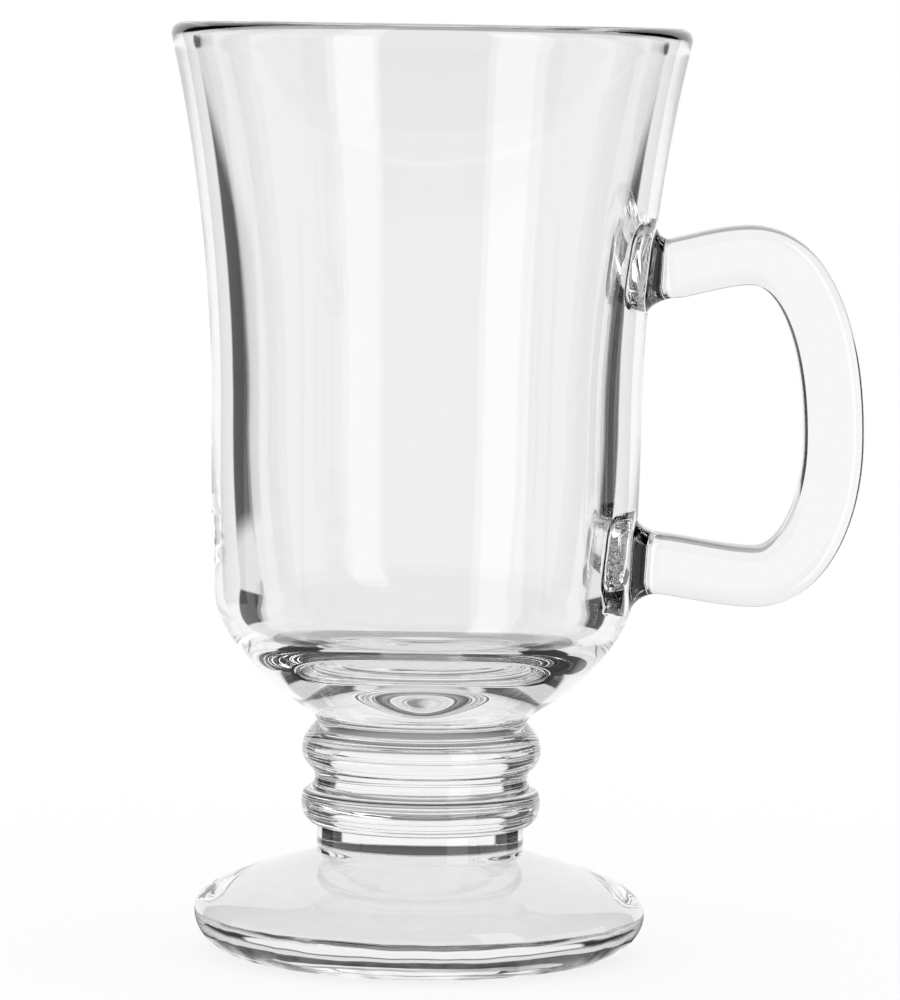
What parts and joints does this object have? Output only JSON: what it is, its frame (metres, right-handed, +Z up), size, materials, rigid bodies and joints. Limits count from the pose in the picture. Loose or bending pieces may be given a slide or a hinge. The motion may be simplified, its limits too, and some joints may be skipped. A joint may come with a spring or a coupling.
{
  "type": "latte glass",
  "caption": "Stemmed latte glass in clear pressed glass: flared bowl with a rounded rim, ringed solid stem, domed round foot and an open side handle.",
  "frame": {"origin": "middle of the foot's flat underside, on the table, on the axis of bowl, stem and foot", "axes": "+Z up along that axis to the rim, +X towards the handle"},
  "size_m": [0.1097, 0.0818, 0.1467],
  "materials": {
    "clear_glass": "clear pressed soda-lime glass, fire-polished"
  },
  "bodies": {
    "root": {"bowl": "clear_glass", "stem": "clear_glass", "foot": "clear_glass", "handle": "clear_glass", "upper_handle_boss": "clear_glass", "lower_handle_boss": "clear_glass"}
  },
  "joints": []
}
